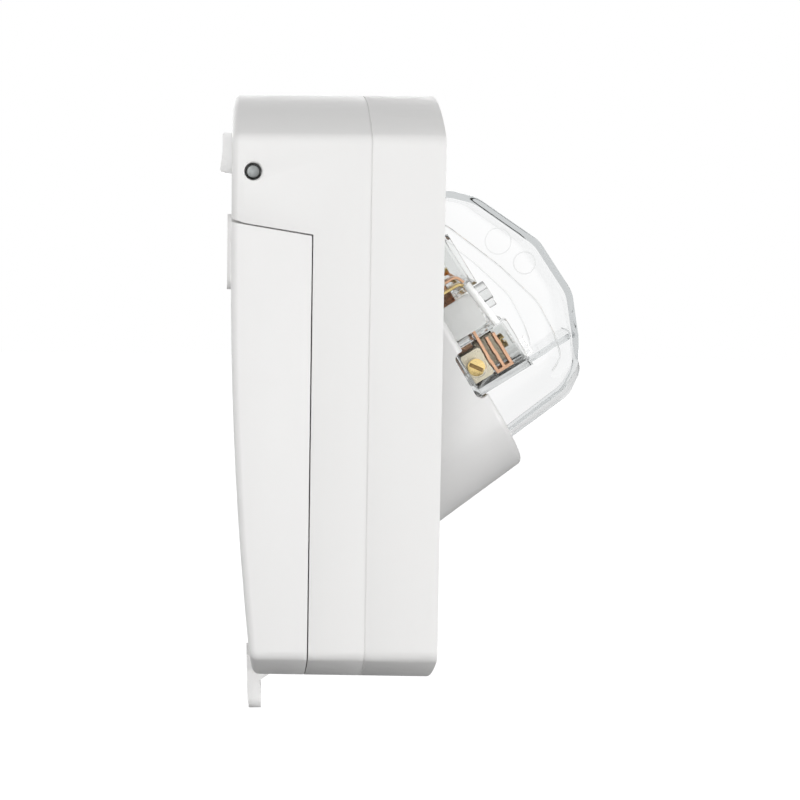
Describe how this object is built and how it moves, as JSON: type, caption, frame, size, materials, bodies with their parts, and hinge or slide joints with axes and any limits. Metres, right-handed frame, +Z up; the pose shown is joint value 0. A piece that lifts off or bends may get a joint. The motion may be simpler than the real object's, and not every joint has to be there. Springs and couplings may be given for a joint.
{
  "type": "weather-protected switched socket outlet",
  "caption": "Surface-mounted outdoor switched socket outlet with a hinged flap lid, recessed angled socket, rocker switch and clear covered terminals at the back",
  "frame": {"origin": "centre of the four wall-fixing holes, on the wall plane", "axes": "+Z up, -Y is the front face that the user sees, +Y goes into the wall, X across the width"},
  "size_m": [0.084, 0.0906, 0.1518],
  "materials": {
    "case_white": "satin moulded UV-stable plastic, pure white",
    "lid_white": "satin moulded UV-stable plastic, pure white",
    "rocker_white": "polished white plastic",
    "housing_white": "satin moulded white plastic",
    "face_white": "white socket plastic",
    "clear_cover": "clear moulded polycarbonate",
    "clear_base": "clear moulded polycarbonate, lightly frosted inside",
    "copper": "bare copper alloy strip",
    "brass": "bright turned brass",
    "steel": "stainless steel",
    "seal_rubber": "soft black rubber",
    "switch_plastic": "pale grey moulded plastic"
  },
  "bodies": {
    "case": {"active_contact": "copper", "back_frame": "case_white", "base_screws": "steel", "cover_gasket": "seal_rubber", "cover_screws": "steel", "earth_contact": "copper", "fixed_contacts": "brass", "front_cover": "case_white", "hinge_pin_left": "steel", "hinge_pin_right": "steel", "link_bars": "copper", "neutral_contact": "copper", "recess_housing": "housing_white", "recess_seal": "seal_rubber", "rocker_pivot": "steel", "socket_face": "face_white", "socket_seal": "seal_rubber", "switch_body": "switch_plastic", "terminal_base": "clear_base", "terminal_blocks": "brass", "terminal_cover": "clear_cover", "terminal_screws": "brass", "wall_gasket": "seal_rubber"},
    "lid": {"lid": "lid_white"},
    "rocker": {"rocker": "rocker_white", "rocker_spring": "steel", "plunger": "steel"},
    "contact": {"moving_contact": "brass"}
  },
  "joints": [
    {"name": "lid_hinge", "type": "hinge", "parent": "case", "child": "lid", "pos_m": [0, -0.0435, 0.0515], "axis": [-1, 0, 0], "range_deg": [0, 80]},
    {"name": "rocker_tilt", "type": "hinge", "parent": "case", "child": "rocker", "pos_m": [0, -0.0444, 0.0565], "axis": [1, 0, 0], "range_deg": [0, 8]},
    {"name": "contact_tilt", "type": "hinge", "parent": "case", "child": "contact", "pos_m": [0, -0.036, 0.0565], "axis": [-1, 0, 0], "range_deg": [0, 8]}
  ],
  "couplings": [
    {"joint": "contact_tilt", "follows": "rocker_tilt", "ratio": 1}
  ]
}
